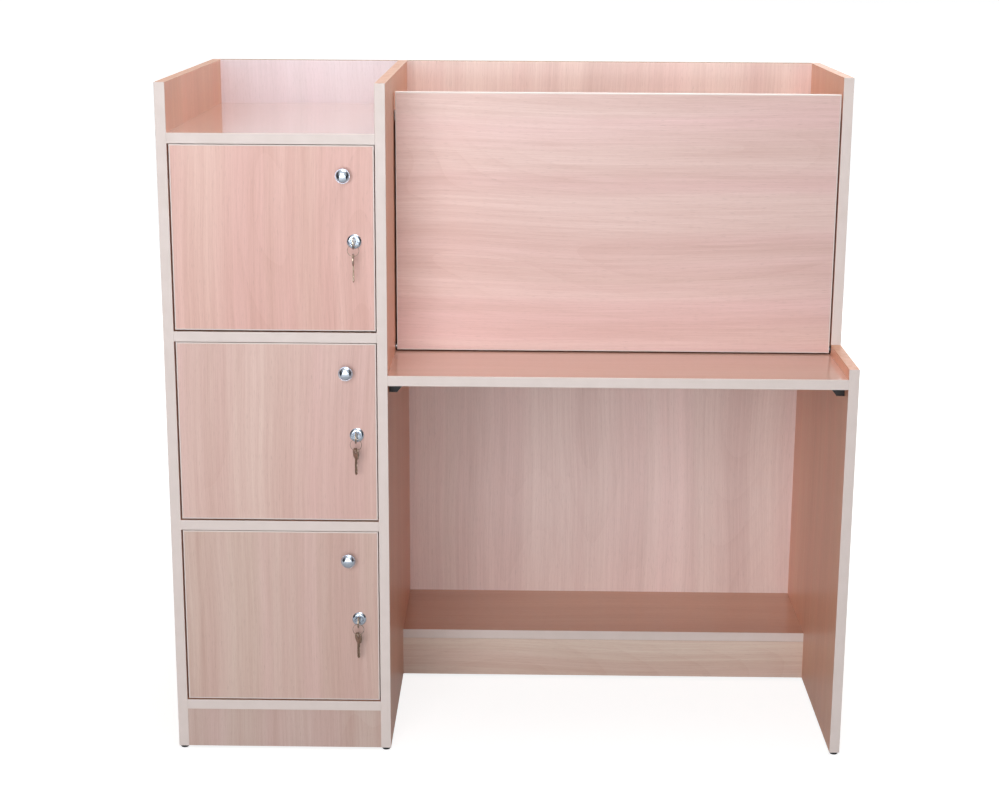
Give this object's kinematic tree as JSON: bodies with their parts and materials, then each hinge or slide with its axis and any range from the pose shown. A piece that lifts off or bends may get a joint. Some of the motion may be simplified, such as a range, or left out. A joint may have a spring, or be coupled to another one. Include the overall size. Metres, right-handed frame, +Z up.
{
  "type": "study desk",
  "caption": "Study desk in beech-print board: a column of locking lockers beside a writing top with a fall-front hutch, a stepped side panel and a foot shelf.",
  "frame": {"origin": "on the floor, at the middle of the desk's footprint with its hanging keys", "axes": "+X to the right as seen from the front, +Y from the front to the back, +Z up"},
  "size_m": [1.2, 0.6315, 1.2],
  "materials": {
    "beech_board": "beech-print melamine, satin",
    "pale_edging": "pale edge band, satin",
    "beech_edging": "beech-print edge band, satin",
    "black_plastic": "moulded, matte",
    "zinc": "zinc plated",
    "white_plastic": "moulded, satin",
    "hinge_steel": "nickel-plated pressed steel",
    "lock_chrome": "polished chrome plate",
    "key_nickel": "nickel-plated brass, worn"
  },
  "bodies": {
    "carcass": {"left_side_panel": "beech_board", "partition_panel": "beech_board", "right_side_panel": "beech_board", "locker_back": "beech_board", "desk_back": "beech_board", "desktop": "beech_board", "hutch_top_board": "beech_board", "foot_shelf": "beech_board", "foot_shelf_rail": "beech_board", "locker_tray_shelf": "beech_board", "locker_upper_shelf": "beech_board", "locker_lower_shelf": "beech_board", "locker_floor": "beech_board", "locker_plinth": "beech_board", "front_edging": "pale_edging", "top_edging": "beech_edging", "foot_glides": "black_plastic", "panel_connectors": "zinc", "corner_brackets": "black_plastic", "carcass_screws": "zinc", "flap_bushes": "black_plastic", "magnetic_catches": "white_plastic", "hinge_arms": "hinge_steel"},
    "flap": {"flap_board": "beech_board", "flap_edging": "pale_edging", "flap_pivot_pins": "zinc", "flap_strike_plates": "zinc"},
    "lower_door": {"lower_door_board": "beech_board", "lower_door_edging": "pale_edging", "lower_hinge_cups": "hinge_steel", "lower_knob": "lock_chrome", "lower_lock_housing": "lock_chrome", "lower_door_fixings": "zinc"},
    "lower_lock": {"lower_lock_plug": "lock_chrome", "lower_lock_cam": "zinc", "lower_key": "key_nickel"},
    "lower_key_set": {"lower_key_ring": "key_nickel", "lower_spare_key": "key_nickel"},
    "middle_door": {"middle_door_board": "beech_board", "middle_door_edging": "pale_edging", "middle_hinge_cups": "hinge_steel", "middle_knob": "lock_chrome", "middle_lock_housing": "lock_chrome", "middle_door_fixings": "zinc"},
    "middle_lock": {"middle_lock_plug": "lock_chrome", "middle_lock_cam": "zinc", "middle_key": "key_nickel"},
    "middle_key_set": {"middle_key_ring": "key_nickel", "middle_spare_key": "key_nickel"},
    "upper_door": {"upper_door_board": "beech_board", "upper_door_edging": "pale_edging", "upper_hinge_cups": "hinge_steel", "upper_knob": "lock_chrome", "upper_lock_housing": "lock_chrome", "upper_door_fixings": "zinc"},
    "upper_lock": {"upper_lock_plug": "lock_chrome", "upper_lock_cam": "zinc", "upper_key": "key_nickel"},
    "upper_key_set": {"upper_key_ring": "key_nickel", "upper_spare_key": "key_nickel"}
  },
  "joints": [
    {"name": "flap_fold", "type": "hinge", "parent": "carcass", "child": "flap", "pos_m": [0.184, -0.07825, 0.7088], "axis": [1, 0, 0], "range_deg": [0, 90.7]},
    {"name": "lower_door_swing", "type": "hinge", "parent": "carcass", "child": "lower_door", "pos_m": [-0.557, -0.27325, 0.25367], "axis": [0, 0, -1], "range_deg": [0, 100]},
    {"name": "lower_lock_turn", "type": "hinge", "parent": "lower_door", "child": "lower_lock", "pos_m": [-0.2685, -0.28425, 0.25367], "axis": [0, -1, 0], "range_deg": [0, 90]},
    {"name": "lower_key_set_hang", "type": "hinge", "parent": "lower_lock", "child": "lower_key_set", "pos_m": [-0.2685, -0.30525, 0.24697], "axis": [0, -1, 0], "range_deg": [-90, 0]},
    {"name": "middle_door_swing", "type": "hinge", "parent": "carcass", "child": "middle_door", "pos_m": [-0.557, -0.27325, 0.594], "axis": [0, 0, -1], "range_deg": [0, 100]},
    {"name": "middle_lock_turn", "type": "hinge", "parent": "middle_door", "child": "middle_lock", "pos_m": [-0.2685, -0.28425, 0.594], "axis": [0, -1, 0], "range_deg": [0, 90]},
    {"name": "middle_key_set_hang", "type": "hinge", "parent": "middle_lock", "child": "middle_key_set", "pos_m": [-0.2685, -0.30525, 0.5873], "axis": [0, -1, 0], "range_deg": [-90, 0]},
    {"name": "upper_door_swing", "type": "hinge", "parent": "carcass", "child": "upper_door", "pos_m": [-0.557, -0.27325, 0.93433], "axis": [0, 0, -1], "range_deg": [0, 100]},
    {"name": "upper_lock_turn", "type": "hinge", "parent": "upper_door", "child": "upper_lock", "pos_m": [-0.2685, -0.28425, 0.93433], "axis": [0, -1, 0], "range_deg": [0, 90]},
    {"name": "upper_key_set_hang", "type": "hinge", "parent": "upper_lock", "child": "upper_key_set", "pos_m": [-0.2685, -0.30525, 0.92763], "axis": [0, -1, 0], "range_deg": [-90, 0]}
  ],
  "couplings": [
    {"joint": "lower_key_set_hang", "follows": "lower_lock_turn", "ratio": -1},
    {"joint": "middle_key_set_hang", "follows": "middle_lock_turn", "ratio": -1},
    {"joint": "upper_key_set_hang", "follows": "upper_lock_turn", "ratio": -1}
  ]
}
